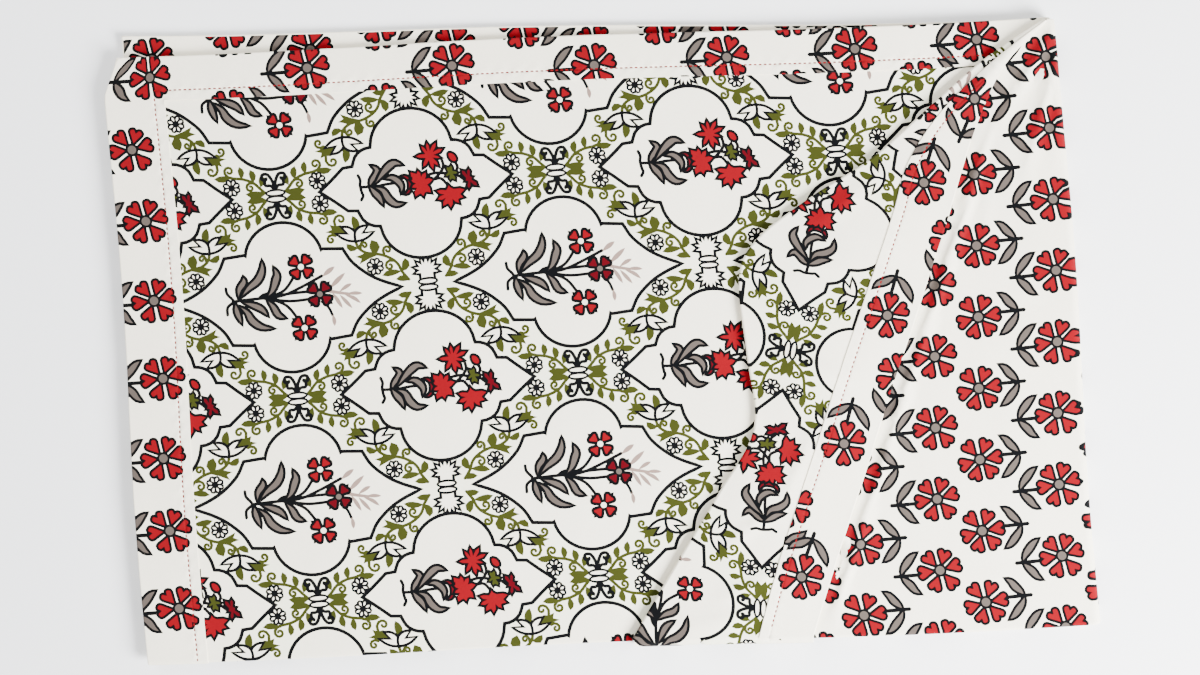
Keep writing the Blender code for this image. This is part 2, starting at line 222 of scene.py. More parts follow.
# The pen: how much bolder lines are than drawn, its round tip, sharp corners, tendrils
BOLD = 1.25
PEN_TIP = 0.8
MITRE_LIMIT = 1.8
TENDRIL_PEN = 2.8

# How far the dark line round a medallion reaches outwards and inwards
RING_OUT = 2.2
RING_IN = 1.9

# Soft wrinkles, in millimetres: the two ends, half width and height
WRINKLES = (
    (575, 385, 445, 205, 7, 5.6), (555, 375, 395, 225, 8, 4.2), (570, 400, 474, 130, 7, 5.4),
    (560, 400, 516, 150, 7, 3.6), (450, 290, 330, 205, 10, 1.6), (452, 205, 428, 60, 9, 1.8),
    (330, 180, 230, 112, 9, 1.9), (290, 60, 195, 100, 10, 1.7), (300, -60, 180, -25, 10, 1.8),
    (240, -90, 180, -210, 9, 2.2), (200, -185, 112, -240, 8, 2.2), (215, -250, 90, -305, 9, 2.4),
    (180, -305, 50, -330, 10, 1.8), (-520, 290, -380, 262, 8, 1.4), (-470, 300, -300, 230, 12, 0.9),
    (-50, 250, 140, 215, 14, 0.8), (-250, -290, -80, -240, 14, 0.9), (-440, -200, -330, -300, 12, 0.9),
    (330, -300, 520, -265, 12, 1), (400, 20, 520, 45, 12, 0.8),
)

# Stitching beside the border's inner edge
STITCH_INSET = 0.011
STITCH_PITCH = 0.0056
STITCH_LENGTH = 0.0034
STITCH_WIDTH = 0.0016
STITCH_HEIGHT = 0.0005
STITCH_CLEAR = 0.0001
STITCH_STEP = 0.005
SEAM_U = BORDER - STITCH_INSET
SEAM_V = TOP_BORDER - STITCH_INSET
SEAM_GAP = 0.001
SEAM_END = 0.002
SEAM_WIDTH = 0.0012
MITRE_WIDTH = 0.0015
STITCH_ROWS = (-0.006, -0.0025, -0.001, 0.0, 0.001, 0.0025, 0.006)
PUCKER_DEPTH = 0.0005
PUCKER_SWELL = 0.00035
PUCKER_LENGTH = 0.019
PUCKER_REACH = 0.006


# Folding

def unit(vectors):
    """Rows scaled to a length of one."""
    return vectors / np.maximum(np.linalg.norm(vectors, axis=1)[:, None], TINY)


def curve(before, a, b, after, steps):
    """Points of a smooth curve from a on towards b, between its neighbours."""
    return [0.5 * (2 * a + (b - before) * t + (2 * before - 5 * a + 4 * b - after) * t * t
                   + (3 * a - before - 3 * b + after) * t ** 3)
            for t in (step / steps for step in range(steps))]


def spline_rows():
    """The flap's rows with smooth ones between, so that hem and crease run in curves."""
    rows = np.array(FLAP_ROWS)
    ends = [rows[0], *rows, rows[-1]]
    fine = [row for k in range(len(rows) - 1) for row in curve(*ends[k:k + 4], ROW_SPLIT)]
    return np.array(fine + [rows[-1]])


ROWS = spline_rows()
HEM_LINE = ROWS[:, 0:2]
CREASE_LINE = ROWS[:, 2:4]
INNER_LINE = HEM_LINE + unit(CREASE_LINE - HEM_LINE) * ROWS[:, 4:5]


def wave(x, y, rate_x, rate_y, phase):
    """A wave over the plane."""
    return np.sin(rate_x * x + rate_y * y + phase)


def crumple(x, y):
    """Soft unevenness of the whole stack, in metres at its top."""
    waves = 0.0
    for height, first, second in RIPPLES:
        waves = waves + height * wave(x, y, *first) * wave(x, y, *second)
    for x0, y0, x1, y1, width, height in np.array(WRINKLES) * MM:
        dx, dy = x1 - x0, y1 - y0
        part = ((x - x0) * dx + (y - y0) * dy) / (dx * dx + dy * dy)
        off = ((x - x0) * dy - (y - y0) * dx) / math.hypot(dx, dy)
        fade = np.sin(math.pi * np.clip(part, 0.0, 1.0)) ** 1.5
        waves = waves + height * fade * np.exp(-(off / width) ** 2)
    return waves


def settle(x, y, z):
    """Lay points of the ideal folded stack into the uneven one. The layers keep their order."""
    first, second = (wave(x, y, *rates) for rates in SWELL_WAVES)
    rise = RISE * (1.0 + first * second) + crumple(x, y)
    out_x = x - LEAN * y + EDGE_WANDER * wave(x, y, *EDGE_WAVES[0])
    out_y = y + EDGE_WANDER * wave(x, y, *EDGE_WAVES[1])
    out_z = z * (1.0 + rise / FLAP_Z)
    return np.stack([out_x - ORIGIN_SHIFT[0], out_y - ORIGIN_SHIFT[1], out_z], axis=-1)


def pleat_height(x, y):
    """Height of the narrow pleat that the top layer makes beside the diagonal hem."""
    top_y, end_y = FLAP_ROWS[2][1], FLAP_ROWS[-1][1]
    hem_x = np.interp(y, HEM_LINE[::-1, 1], HEM_LINE[::-1, 0])
    inner, outer = PLEAT_SPAN
    across = np.clip((x - hem_x - inner) / (outer - inner), 0.0, 1.0)
    fade = np.clip(np.minimum((top_y - y) / PLEAT_FADE, (y - end_y) / PLEAT_FADE), 0.0, 1.0)
    return PLEAT_HEIGHT * fade * np.sin(math.pi * across) ** 2


def sheet_point(u, v, offset):
    """Place of cloth points in the quarter-folded stack."""
    tucked = u < TUCK_END_U
    radius = np.where(tucked, TUCK_RADIUS, FIRST_RADIUS)
    end_v = np.where(tucked, TUCK_V, RETURN_V)
    angle = np.clip((v - FOLD_V) / radius, 0.0, math.pi)
    reach = np.where(tucked, radius + offset, radius - offset)
    turned_y = BOTTOM_FOLD_Y - reach * np.sin(angle) + np.maximum(0.0, v - end_v)
    turned_z = np.where(tucked, -radius + reach * np.cos(angle), radius - reach * np.cos(angle))
    front = v <= FOLD_V
    y = np.where(front, TOP_HEM_Y - v, turned_y)
    height = np.where(front, offset, turned_z)
    roll = np.clip((u - FOLD_U) / SECOND_RADIUS, 0.0, math.pi)
    out = SECOND_RADIUS + height
    x = LEFT_HEM_X + np.minimum(u, FOLD_U) - np.maximum(0.0, u - UNDER_U) + out * np.sin(roll)
    z = FRONT_Z - SECOND_RADIUS + out * np.cos(roll)
    over = u > FOLD_U
    cut = np.clip(1.0 - v / CORNER_REACH, 0.0, 1.0) * np.clip(1.0 - u / BORDER, 0.0, 1.0)
    x = x + CORNER_SHIFT * np.where(front, cut, 0.0)
    lift = np.where((v > RETURN_V) & ~tucked & ~over, pleat_height(x, y), 0.0)
    y = y + np.where(over, ASKEW * (SECOND_FOLD_X - x), 0.0)
    return settle(x, y, z + lift)


def line_distance(x, y, line):
    """Distance of points from a polyline."""
    best = np.full(np.shape(x), np.inf)
    for (x0, y0), (x1, y1) in zip(line[:-1], line[1:]):
        dx, dy = x1 - x0, y1 - y0
        part = np.clip(((x - x0) * dx + (y - y0) * dy) / max(dx * dx + dy * dy, TINY), 0.0, 1.0)
        best = np.minimum(best, np.hypot(x - x0 - part * dx, y - y0 - part * dy))
    return best


def flap_point(x, y, offset):
    """Place of points on the turned-back layer, whose lower end wraps over the bottom fold."""
    laid_y = np.maximum(y, BOTTOM_FOLD_Y)
    to_hem = line_distance(x, laid_y, HEM_LINE)
    width = np.maximum(to_hem + line_distance(x, laid_y, CREASE_LINE), TINY)
    swell = FLAP_SWELL * np.sin(math.pi * np.clip(to_hem / width, 0.0, 1.0))
    swell = swell * np.minimum(1.0, width / FLAP_SWELL_SPAN)
    past = np.maximum(0.0, BOTTOM_FOLD_Y - y)
    angle = np.minimum(past / LIP_RADIUS, math.pi / 2)
    drop = np.maximum(0.0, past - LIP_RADIUS * math.pi / 2)
    reach = LIP_RADIUS + offset
    out_y = np.where(past > 0.0, BOTTOM_FOLD_Y - reach * np.sin(angle), y)
    base = FLAP_Z + swell * np.cos(angle)
    z = np.where(past > 0.0, base - LIP_RADIUS + reach * np.cos(angle) - drop, base + offset)
    return settle(x, out_y, z)


# Charts: a cloth cut into inked triangles

def winding(points, outline):
    """How many times an outline runs round each point."""
    x, y = points.T
    turns = np.zeros(len(points), int)
    for (x0, y0), (x1, y1) in zip(outline, np.roll(outline, -1, axis=0)):
        left = (x1 - x0) * (y - y0) - (x - x0) * (y1 - y0)
        turns += ((y0 <= y) & (y < y1) & (left > 0)).astype(int)
        turns -= ((y1 <= y) & (y < y0) & (left < 0)).astype(int)
    return turns


def within(points, outline):
    """Those points that lie inside an outline."""
    points = np.asarray(points)
    return points[winding(points, np.asarray(outline)) != 0]


def cut_chart(outline, points, runs, shapes):
    """Triangles of a flat chart. Returns its points, its triangles and each triangle's ink."""
    rings = [np.asarray(outline)] + [shape for _, shape in shapes]
    lines = [(ring, 0) for ring in rings] + [(run, 1) for run in runs]
    edges, count = [], 0
    for line, open_end in lines:
        size = len(line)
        edges += [(count + k, count + (k + 1) % size) for k in range(size - open_end)]
        count += size
    flat = np.concatenate([line for line, _ in lines] + [points])
    verts, _, found, _, _, _ = delaunay_2d_cdt(
        [Vector(p) for p in flat.tolist()], edges, [], 0, SNAP, True)
    verts, triangles = np.array([v[:] for v in verts]), np.array(found)
    middle = verts[triangles].mean(axis=1)
    kept = winding(middle, rings[0]) != 0
    triangles, middle = triangles[kept], middle[kept]
    order = np.argsort(middle[:, 0], kind="stable")
    triangles, middle = triangles[order], middle[order]
    inks = np.zeros(len(triangles), int)
    for (ink, _), ring in zip(shapes, rings[1:]):
        low, high = ring.min(axis=0), ring.max(axis=0)
        near = np.arange(*np.searchsorted(middle[:, 0], (low[0], high[0])))
        near = near[(middle[near, 1] >= low[1]) & (middle[near, 1] <= high[1])]
        if len(near):
            inks[near[winding(middle[near], ring) != 0]] = INK_NAMES.index(ink)
    used, index = np.unique(triangles, return_inverse=True)
    return verts[used], index.reshape(triangles.shape), inks


def rectangle_points(u0, u1, v0, v1, step, margin=0.0):
    """Points of an even grid inside a rectangle, each second row set off by half a step."""
    u0, u1, v0, v1 = u0 + margin, u1 - margin, v0 + margin, v1 - margin
    cols = max(1, round((u1 - u0) / step))
    rows = max(1, round((v1 - v0) / step))
    return [(u0 + (u1 - u0) * min(1.0, (c + 0.5 * (r % 2)) / cols), v0 + (v1 - v0) * r / rows)
            for r in range(rows + 1) for c in range(cols + 1)]


class Cloth:
    """Gathers the triangles of one cloth, with their ink and their place in the weave."""

    def __init__(self, name, slot, replaced):
        self.name, self.slot, self.replaced = name, slot, replaced
        self.pieces, self.count = [], 0

    def add(self, points, normals, weave, triangles, inks):
        """Add triangles, turned so that they face along their normals."""
        a, b, c = (points[triangles[:, k]] for k in range(3))
        facing = np.sum(np.cross(b - a, c - a) * normals[triangles].sum(axis=1), axis=1)
        triangles = np.where((facing < 0)[:, None], triangles[:, ::-1], triangles)
        self.pieces.append((points, normals, weave, triangles + self.count, inks))
        self.count += len(points)

    def add_chart(self, chart, place, offset, inner):
        """Add a chart laid by a place function; inner is an offset inside the cloth."""
        flat, triangles, inks = chart
        normals = surface_normals(place, flat, offset, inner)
        self.add(place(*flat.T, offset), normals, flat, triangles, inks)

    def build(self, materials):
        """The cloth as an object."""
        verts, normals, weave, faces, inks = (np.concatenate(kind) for kind in zip(*self.pieces))
        mesh = bpy.data.meshes.new(self.name)
        mesh.from_pydata(verts.tolist(), [], faces.tolist())
        mesh.polygons.foreach_set("material_index", inks.astype(np.int32))
        mesh.polygons.foreach_set("use_smooth", np.ones(len(faces), bool))
        layer = mesh.attributes.new("weave_place", "FLOAT2", "POINT")
        layer.data.foreach_set("vector", weave.astype(np.float32).ravel())
        for material in materials:
            mesh.materials.append(material)
        mesh.update()
        mesh.normals_split_custom_set_from_vertices(normals.tolist())
        item = bpy.data.objects.new(self.name, mesh)
        bpy.context.scene.collection.objects.link(item)
        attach(item, "root")
        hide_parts(self.replaced)
        return item


def surface_normals(place, flat, offset, inner):
    """Outward normals of a laid chart, from the places close by."""
    u, v = flat.T
    along = place(u + NUDGE, v, offset) - place(u - NUDGE, v, offset)
    across = place(u, v + NUDGE, offset) - place(u, v - NUDGE, offset)
    normals = np.cross(along, across)
    out = place(u, v, offset) - place(u, v, inner)
    return unit(normals * np.sign(np.sum(normals * out, axis=1))[:, None])


def open_edges(triangles, inks):
    """Edges that one triangle uses, with that triangle's ink."""
    uses = {}
    for face, ink in zip(triangles.tolist(), inks.tolist()):
        for a, b in zip(face, face[1:] + face[:1]):
            uses.setdefault((min(a, b), max(a, b)), []).append(ink)
    return [(a, b, kinds[0]) for (a, b), kinds in uses.items() if len(kinds) == 1]


def add_roll(cloth, chart, chosen, ring, steps, length):
    """Carry the chosen open edges of a chart round a roll. ring(flat, part) gives the places
    of edge points at a part of the turn, with their outward normals."""
    flat, triangles, inks = chart
    picked = [(a, b, ink) for a, b, ink in open_edges(triangles, inks)
              if chosen(flat[a]) and chosen(flat[b])]
    used = sorted({k for a, b, _ in picked for k in (a, b)})
    index = {k: n for n, k in enumerate(used)}
    line, size = flat[used], len(used)
    turns = range(steps + 1)
    points, normals = (np.concatenate(kind) for kind in zip(*(ring(line, k / steps) for k in turns)))
    weave = np.concatenate([line + length * k / steps for k in turns])
    faces, colours = [], []
    for a, b, ink in picked:
        for step in range(steps):
            p, q = index[a] + step * size, index[b] + step * size
            faces += [(p, q, q + size), (p, q + size, p + size)]
            colours += [ink, ink]
    cloth.add(points, normals, weave, np.array(faces), np.array(colours))


# Laying the cloths

def crease_chart_line():
    """The crease in the sheet's chart, from the corner down."""
    line = CREASE_LINE + (-LEFT_HEM_X, RETURN_V - BOTTOM_FOLD_Y)
    line[0, 1] = CUT_WIDTH
    return line


def dense(line, step=FINE_STEP):
    """A polyline with more points along its long stretches."""
    found = []
    for a, b in zip(np.array(line[:-1]), np.array(line[1:])):
        parts = max(1, math.ceil(np.linalg.norm(b - a) / step))
        found += [a + (b - a) * k / parts for k in range(parts)]
    return found + [line[-1]]


def sheet_outline():
    """Outline of the laid part of the cloth, cut away at the crease of the turned-back layer."""
    crease = crease_chart_line()
    before = [(0.0, 0.0), (FOLD_U, 0.0), (CUT_LENGTH, 0.0), (CUT_LENGTH, CUT_WIDTH), crease[0]]
    after = [crease[-1], (crease[-1][0], FOLD_V), (TUCK_EDGE_U, FOLD_V), (TUCK_EDGE_U, TUCK_END_V),
             (0.0, TUCK_END_V), (0.0, 0.0)]
    return dense(before, OUTLINE_STEP)[:-1] + [*crease[:-1]] + dense(after, OUTLINE_STEP)[:-1]


def roll_lines(start, end):
    """Values that divide a fold's roll, from its start to its end."""
    return [start + (end - start) * k / ROLL_STEPS for k in range(ROLL_STEPS + 1)]


def sheet_runs():
    """Lines along the rolls of the folds, which triangles don't cross."""
    crease_u = crease_chart_line()[-1][0]
    runs = [[(u, 0.0), (u, CUT_WIDTH)] for u in roll_lines(FOLD_U, UNDER_U)]
    runs += [[(crease_u, v), (CUT_LENGTH, v)] for v in roll_lines(FOLD_V, RETURN_V)]
    runs += [[(0.0, v), (TUCK_EDGE_U, v)] for v in roll_lines(FOLD_V, TUCK_V)]
    return [dense(run, ROLL_STEP) for run in runs]


def sheet_points(front_step, top_step):
    """Grid points of the sheet: fine where it shows, coarse where it is hidden."""
    points = []
    for u0, u1, v0, v1, step, margin in (
            (0.0, FOLD_U, 0.0, FOLD_V, front_step, SHEET_MARGIN),
            (TUCK_END_U, FOLD_U, RETURN_V, CUT_WIDTH, top_step, SHEET_MARGIN),
            (0.0, TUCK_END_U, TUCK_V, TUCK_END_V, COARSE_STEP, HIDDEN_MARGIN),
            (UNDER_U, CUT_LENGTH, 0.0, FOLD_V, COARSE_STEP, HIDDEN_MARGIN),
            (UNDER_U, CUT_LENGTH, RETURN_V, CUT_WIDTH, COARSE_STEP, HIDDEN_MARGIN)):
        points += rectangle_points(u0, u1, v0, v1, step, margin)
    return within(points, sheet_outline())


def margin_outline():
    """Outline of the margin that the border covers, on the laid part of the cloth."""
    return dense([
        (0.0, 0.0), (CUT_LENGTH, 0.0), (CUT_LENGTH, CUT_WIDTH), (FOLD_U, CUT_WIDTH),
        (FOLD_U, INNER_V), (INNER_U, INNER_V), (INNER_U, TOP_BORDER), (BORDER, TOP_BORDER),
        (BORDER, TUCK_END_V), (0.0, TUCK_END_V), (0.0, 0.0)])[:-1]


def margin_runs():
    """Roll lines across the border, its mitres, and lines beside its seam."""
    runs = [[(u, low), (u, high)] for low, high in ((0.0, TOP_BORDER), (INNER_V, CUT_WIDTH))
            for u in roll_lines(FOLD_U, UNDER_U)]
    runs += [[(INNER_U, v), (CUT_LENGTH, v)] for v in roll_lines(FOLD_V, RETURN_V)]
    runs += [[(0.0, v), (BORDER, v)] for v in roll_lines(FOLD_V, TUCK_V)]
    runs += [dense([(0.0, 0.0), (BORDER, TOP_BORDER)], STITCH_STEP),
             [(CUT_LENGTH, 0.0), (INNER_U, TOP_BORDER)], [(CUT_LENGTH, CUT_WIDTH), (INNER_U, INNER_V)]]
    for row in STITCH_ROWS:
        u, v = SEAM_U + row, SEAM_V + row
        runs += [dense([(u, v + SEAM_GAP), (u, FOLD_V)], STITCH_STEP),
                 dense([(u + SEAM_GAP, v), (FOLD_U, v)], STITCH_STEP)]
    return runs


def margin_points():
    """Grid points of the border."""
    points = rectangle_points(0.0, BORDER, 0.0, TUCK_END_V, FINE_STEP, BORDER_MARGIN)
    points += rectangle_points(BORDER, INNER_U, BORDER_MARGIN, TOP_BORDER - BORDER_MARGIN, FINE_STEP)
    return within(points, margin_outline())


def flap_outline():
    """Outline of the turned-back layer in the plane, with the part that wraps over the fold."""
    hem_x, crease_x = HEM_LINE[-1][0], CREASE_LINE[-1][0]
    low = [(hem_x, FLAP_END_Y), (crease_x, FLAP_END_Y), (crease_x, BOTTOM_FOLD_Y)]
    return np.array(dense([*HEM_LINE, *low], FLAP_STEP)[:-1] + [*CREASE_LINE[:0:-1]])


def flap_points(step):
    """Grid points of the turned-back layer."""
    outline = flap_outline()
    (x0, y0), (x1, y1) = outline.min(axis=0), outline.max(axis=0)
    return within(rectangle_points(x0, x1, y0, y1, step), outline)


def flap_border_outline():
    """Outline of the border on the turned-back layer."""
    low = [(HEM_LINE[-1][0], FLAP_END_Y), (INNER_LINE[-1][0], FLAP_END_Y)]
    return np.array(dense([*HEM_LINE, *low], FLAP_STEP) + [*INNER_LINE[:0:-1]])


def is_at(value, *lines):
    """Whether a chart coordinate lies on one of some lines."""
    return any(abs(value - line) < 4 * SNAP for line in lines)


def on_hem(p):
    """Whether a point of the border's chart lies on the hem."""
    return is_at(p[0], 0.0, CUT_LENGTH) or is_at(p[1], 0.0, CUT_WIDTH)


def on_inner(p):
    """Whether a point of the border's chart lies on the border's inner edge."""
    return (is_at(p[0], BORDER, INNER_U) and p[1] > TOP_BORDER - 4 * SNAP
            or is_at(p[1], TOP_BORDER, INNER_V) and p[0] > BORDER - 4 * SNAP)


def near_line(line):
    """Test for points on a polyline."""
    return lambda p: line_distance(p[0], p[1], line) < NEAR_LINE


def inward_steps(line, low, high):
    """Steps away from the two low and the two high edges of a chart, for points on them."""
    return np.isclose(line, low, 0, 4 * SNAP) * 1.0 - np.isclose(line, high, 0, 4 * SNAP)


def side_steps(line):
    """Unit steps to the left of a line at each of its points."""
    return unit(np.gradient(line, axis=0))[:, ::-1] * (-1, 1)


def left_of(line, points):
    """Unit steps to the left of a line, each at its point nearest to one of some points."""
    away = points[:, None] - line
    return side_steps(line)[np.argmin(np.hypot(away[..., 0], away[..., 1]), axis=1)]


def hem_roll(place, line, out, part):
    """A hem's roll, from the border (part 0) round to the back (part 1)."""
    angle = math.pi * (1.0 - part)
    beyond = line + out * (HEM_REACH * math.sin(angle))
    laid = place(*beyond.T, HEM_CENTRE - HEM_REACH * math.cos(angle))
    return laid, unit(laid - place(*line.T, HEM_CENTRE))


def hem_ring(line, part):
    """The roll at the laid cloth's hems."""
    return hem_roll(sheet_point, line, -inward_steps(line, (0.0, 0.0), (CUT_LENGTH, CUT_WIDTH)), part)


def flap_hem_ring(line, part):
    """The roll at the turned-back layer's hem."""
    return hem_roll(flap_point, line, left_of(HEM_LINE, line), part)


def inner_roll(place, line, step, core, part):
    """The border's inner edge, rounded down onto the face. core is inside the border."""
    laid = place(*(line + step).T, BORDER_OFFSET - INNER_DROP * part)
    return laid, unit(laid - place(*core.T, BORDER_OFFSET - INNER_DROP / 2))


def inner_ring(line, part):
    """The border's inner edge on the laid cloth."""
    sides = inward_steps(line, (BORDER, TOP_BORDER), (INNER_U, INNER_V))
    step = sides * (INNER_ROUND * math.sin(math.pi / 2 * part))
    return inner_roll(sheet_point, line, step, line - 4 * step - INNER_NUDGE, part)


def flap_inner_ring(line, part):
    """The border's inner edge on the turned-back layer."""
    out = -left_of(INNER_LINE, line)
    step = out * (INNER_ROUND * math.sin(math.pi / 2 * part))
    return inner_roll(flap_point, line, step, line - out * 4 * INNER_ROUND, part)


def crease_ring(line, part):
    """The roll at the crease, from the turned-back layer down to the layer below."""
    angle = math.pi * part
    reach = BACK_TO_BACK / 2 + HALF_PLY
    beyond = line - left_of(CREASE_LINE, line) * reach * math.sin(angle)
    laid = settle(*beyond.T, TOP_Z + BACK_TO_BACK / 2 + reach * math.cos(angle))
    return laid, unit(laid - settle(*line.T, TOP_Z + BACK_TO_BACK / 2))


def pucker(distance, along):
    """How much a seam draws a cloth in, by the distance from the seam and the place along it."""
    swell = PUCKER_SWELL * np.exp(-(distance / PUCKER_REACH) ** 2)
    return (swell * np.sin(2 * math.pi * along / PUCKER_LENGTH)
            - PUCKER_DEPTH * np.exp(-(distance / SEAM_WIDTH) ** 2))


def puckered_sheet(u, v, offset):
    """Place on the laid cloth's border, drawn in along its seam and its corner's mitre."""
    side = np.where(v > SEAM_V, np.abs(u - SEAM_U), 1.0)
    top = np.where(u > SEAM_U, np.abs(v - SEAM_V), 1.0)
    mitre = np.where(u < BORDER, np.abs(v - u * TOP_BORDER / BORDER), 1.0)
    drawn = pucker(np.minimum(side, top), u + v)
    drawn = drawn - PUCKER_DEPTH * np.exp(-(mitre / MITRE_WIDTH) ** 2)
    return sheet_point(u, v, offset + np.where(v < FOLD_V - SEAM_END, drawn, 0.0))


def flap_stitch_line(row):
    """The seam on the turned-back layer's border, or a line beside it."""
    step = HEM_LINE - INNER_LINE
    wide = np.hypot(*step.T) > STITCH_INSET * 2
    return (INNER_LINE + unit(step) * (STITCH_INSET + row))[wide]


def puckered_flap(x, y, offset):
    """Place on the turned-back layer's border, drawn in along its seam."""
    drawn = pucker(line_distance(x, y, flap_stitch_line(0.0)), x + y)
    return flap_point(x, y, offset + np.where(y > BOTTOM_FOLD_Y, drawn, 0.0))


def add_stitches(cloth, place, line):
    """A row of thread stitches along a line of a chart, each a small crowned lozenge."""
    line = np.asarray(line)
    run = np.concatenate([[0.0], np.cumsum(np.hypot(*np.diff(line, axis=0).T))])
    starts = np.arange(int(run[-1] / STITCH_PITCH) - 1) * STITCH_PITCH
    at = starts[:, None] + STITCH_LENGTH * np.array([0.0, 0.2, 0.8, 1.0])
    x, y = np.interp(at, run, line[:, 0]), np.interp(at, run, line[:, 1])
    step_x, step_y = x[:, -1:] - x[:, :1], y[:, -1:] - y[:, :1]
    length = np.hypot(step_x, step_y)
    side = np.array([-1.0, 0.0, 1.0])
    spread = STITCH_WIDTH / 2 * np.array([0.4, 1.0, 1.0, 0.4])[None, :, None] * side
    flat_x = x[:, :, None] - (step_y / length)[:, :, None] * spread
    flat_y = y[:, :, None] + (step_x / length)[:, :, None] * spread
    crown = STITCH_HEIGHT * np.array([0.0, 1.0, 1.0, 0.0])[:, None] * (1.0 - side ** 2)
    lift = np.broadcast_to(crown + STITCH_CLEAR, flat_x.shape).ravel()
    flat = np.stack([flat_x.ravel(), flat_y.ravel()], axis=1)
    corners = [12 * k + 3 * i + j for k in range(len(starts)) for i in range(3) for j in range(2)]
    faces = [face for p in corners for face in ((p, p + 3, p + 4), (p, p + 4, p + 1))]
    cloth.add(place(*flat.T, BORDER_OFFSET + lift),
              surface_normals(place, flat, BORDER_OFFSET, HEM_CENTRE), flat,
              np.array(faces), np.full(len(faces), INK_NAMES.index("thread")))


def lay_face(front_shapes, flap_shapes, materials):
    """The cloth with the lattice print."""
    cloth = Cloth("face_cloth", "lattice_cotton", "face_panel")
    points = sheet_points(FINE_STEP, COARSE_STEP)
    cloth.add_chart(cut_chart(sheet_outline(), points, sheet_runs(), front_shapes),
                    sheet_point, HALF_PLY, 0.0)
    flap = cut_chart(flap_outline(), flap_points(FINE_STEP), [], flap_shapes)
    cloth.add_chart(flap, flap_point, HALF_PLY, 0.0)
    add_roll(cloth, flap, near_line(CREASE_LINE), crease_ring, ROLL_STEPS, CREASE_WEAVE)
    return cloth.build(materials)


def lay_back(shapes, materials):
    """The cloth with the flower print, and its border."""
    cloth = Cloth("back_cloth", "flower_cotton", "back_panel")
    points = sheet_points(COARSE_STEP, FINE_STEP)
    cloth.add_chart(cut_chart(sheet_outline(), points, sheet_runs(), shapes["sheet"]),
                    sheet_point, -HALF_PLY, 0.0)
    margin = cut_chart(margin_outline(), margin_points(), margin_runs(), shapes["margin"])
    cloth.add_chart(margin, puckered_sheet, BORDER_OFFSET, HEM_CENTRE)
    add_roll(cloth, margin, on_hem, hem_ring, HEM_STEPS, HEM_WEAVE)
    add_roll(cloth, margin, on_inner, inner_ring, INNER_STEPS, INNER_WEAVE)
    cloth.add_chart(cut_chart(flap_outline(), flap_points(COARSE_STEP), [], []),
                    flap_point, -HALF_PLY, 0.0)
    outline = flap_border_outline()
    rows = [dense(flap_stitch_line(row), STITCH_STEP) for row in STITCH_ROWS]
    border = cut_chart(outline, within(flap_points(FINE_STEP), outline), rows, shapes["flap"])
    cloth.add_chart(border, puckered_flap, BORDER_OFFSET, HEM_CENTRE)
    hem = [*HEM_LINE, (HEM_LINE[-1][0], FLAP_END_Y)]
    add_roll(cloth, border, near_line(hem), flap_hem_ring, HEM_STEPS, HEM_WEAVE)
    add_roll(cloth, border, near_line(INNER_LINE), flap_inner_ring, INNER_STEPS, INNER_WEAVE)
    add_stitches(cloth, puckered_sheet, [(SEAM_U, FOLD_V), (SEAM_U, SEAM_V)])
    add_stitches(cloth, puckered_sheet, [(SEAM_U, SEAM_V), (FOLD_U, SEAM_V)])
    add_stitches(cloth, puckered_flap, flap_stitch_line(0.0))
    return cloth.build(materials)


# Drawing: a motif is a list of (ink, outline in millimetres)

def bend(points, steps=5, closed=False):
    """A smooth curve through a few points."""
    p = [*np.asarray(points, float)]
    ends = [p[-1], *p, p[0], p[1]] if closed else [2 * p[0] - p[1], *p, 2 * p[-1] - p[-2]]
    found = [q for k in range(len(ends) - 3) for q in curve(*ends[k:k + 4], steps)]
    return np.array(found if closed else found + [p[-1]])


def turned(points, turn, x, y):
    """Points turned by degrees and then moved."""
    c, s = math.cos(math.radians(turn)), math.sin(math.radians(turn))
    px, py = points.T
    return np.stack([x + px * c - py * s, y + px * s + py * c], axis=1)


def shifted(motif, x, y, turn=0.0, mirror=(1, 1)):
    """A motif mirrored, turned by degrees and moved."""
    return [(ink, turned(outline * mirror, turn, x, y)) for ink, outline in motif]


def stroke(line, width, end_width=None):
    """Outline of a line drawn with a pen of a width, which may change towards its end."""
    line = np.asarray(line, float)
    half = np.linspace(width, end_width or width, len(line))[:, None] * BOLD / 2
    side = side_steps(line) * half
    tips = line[[0, -1]] + unit(line[[0, -1]] - line[[1, -2]]) * half[[0, -1]] * PEN_TIP
    return np.concatenate([line + side, tips[1:], (line - side)[::-1], tips[:1]])


def strokes(ink, rows):
    """Bent lines of an ink, each given as the pen's width and a few points."""
    return [(ink, stroke(bend(points), pen)) for pen, points in rows]


def grown(outline, amount):
    """An outline moved outwards everywhere by an amount."""
    x, y = outline.T
    area = np.sum(x * np.roll(y, -1) - np.roll(x, -1) * y)
    p = outline if area > 0 else outline[::-1]
    step = unit(np.roll(p, -1, axis=0) - p)
    tangent = np.roll(step, 1, axis=0) + step
    length = np.maximum(np.linalg.norm(tangent, axis=1)[:, None], TINY)
    return p + tangent[:, ::-1] * (1, -1) / length * amount * np.minimum(2.0 / length, MITRE_LIMIT)


def outlined(outline, fill, pen):
    """A filled shape with an inked edge."""
    return [("ink", grown(outline, pen * BOLD / 2)), (fill, grown(outline, -pen / 2))]


def disc(x, y, radius, count=14):
    """A round."""
    turn = np.arange(count) * 2 * math.pi / count
    return np.stack([x + radius * np.cos(turn), y + radius * np.sin(turn)], axis=1)


def blade(points, width, widest=1.15, steps=3):
    """A pointed leaf along an axis of a few points, widest a little past its middle."""
    middle = bend(points, steps)
    part = np.linspace(0.0, 1.0, len(middle))[:, None]
    half = width / 2 * np.maximum(np.sin(math.pi * part ** widest), 0.0) ** 0.75
    across = side_steps(middle) * half
    return np.concatenate([middle + across, (middle - across)[-2:0:-1]])


